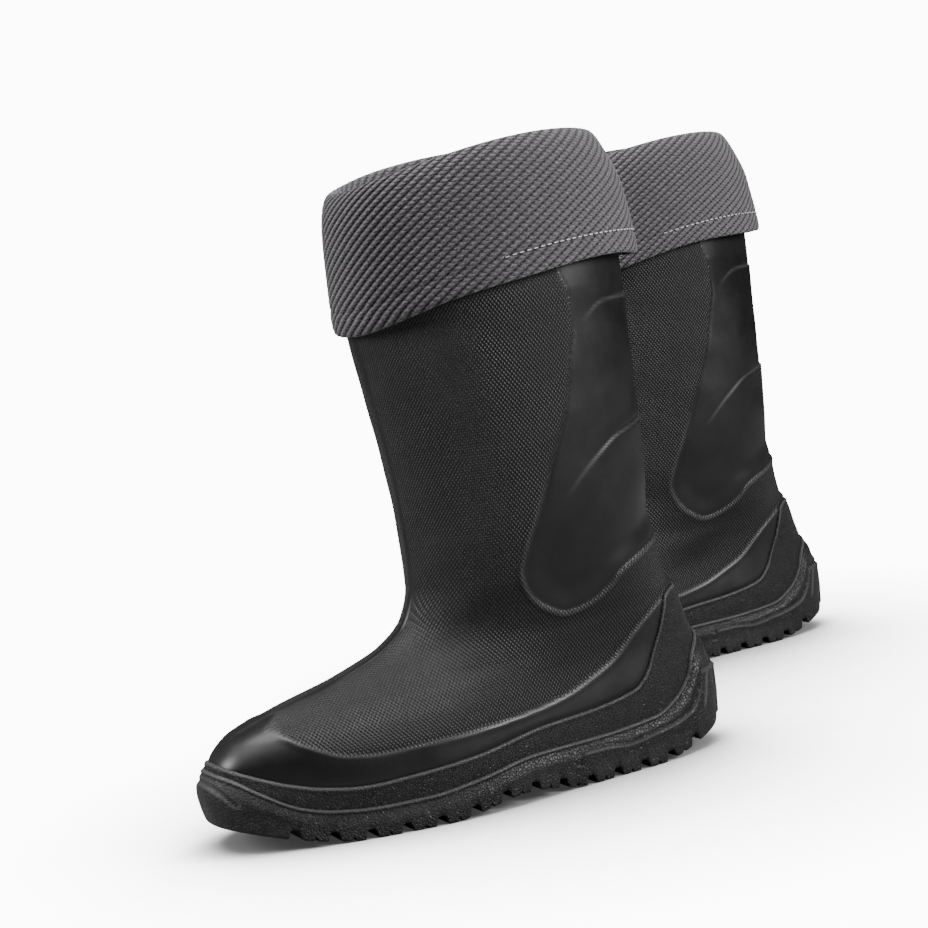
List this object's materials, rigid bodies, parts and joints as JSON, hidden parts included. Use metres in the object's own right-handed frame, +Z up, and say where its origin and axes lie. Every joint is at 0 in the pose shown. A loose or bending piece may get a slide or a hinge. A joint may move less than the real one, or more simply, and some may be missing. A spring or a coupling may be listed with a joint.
{
  "type": "rain boots",
  "caption": "Pair of tall black moulded foam rain boots with lugged soles and pull-out grey liners whose knitted cuffs turn down over the rims.",
  "frame": {"origin": "on the floor, in the middle of the box around the pair", "axes": "+Z up, toes towards -Y, the left boot on the +X side and in front, the right boot on the -X side and one step behind"},
  "size_m": [0.4012, 0.5364, 0.3573],
  "materials": {
    "boot_foam": "black moulded foam with a satin skin, finely embossed on the shaft and vamp",
    "band_foam": "black moulded foam with a fine leather-like grain",
    "tread_rubber": "black, satin, slightly dusty",
    "insole_foam": "dark grey fabric-covered foam",
    "felt": "mid-grey needled fleece",
    "knit": "heather grey diagonal rib knit",
    "thread": "white polyester thread"
  },
  "bodies": {
    "left_boot": {"left_outsole": "tread_rubber", "left_midsole": "band_foam", "left_upper": "boot_foam", "left_footbed": "insole_foam"},
    "left_liner": {"left_liner_sole": "felt", "left_liner_foot": "felt", "left_liner_leg": "felt", "left_cuff": "knit", "left_hem_stitch": "thread"},
    "right_boot": {"right_outsole": "tread_rubber", "right_midsole": "band_foam", "right_upper": "boot_foam", "right_footbed": "insole_foam"},
    "right_liner": {"right_liner_sole": "felt", "right_liner_foot": "felt", "right_liner_leg": "felt", "right_cuff": "knit", "right_hem_stitch": "thread"}
  },
  "joints": [
    {"name": "left_liner_pull", "type": "slide", "parent": "left_boot", "child": "left_liner", "axis": [0, 0, 1], "range_m": [0, 0.33], "deforming": ["left_liner_foot", "left_liner_sole"]},
    {"name": "right_boot_step", "type": "slide", "parent": "left_boot", "child": "right_boot", "axis": [0, -1, 0], "range_m": [0, 0.23]},
    {"name": "right_liner_pull", "type": "slide", "parent": "right_boot", "child": "right_liner", "axis": [0, 0, 1], "range_m": [0, 0.33], "deforming": ["right_liner_foot", "right_liner_sole"]}
  ]
}
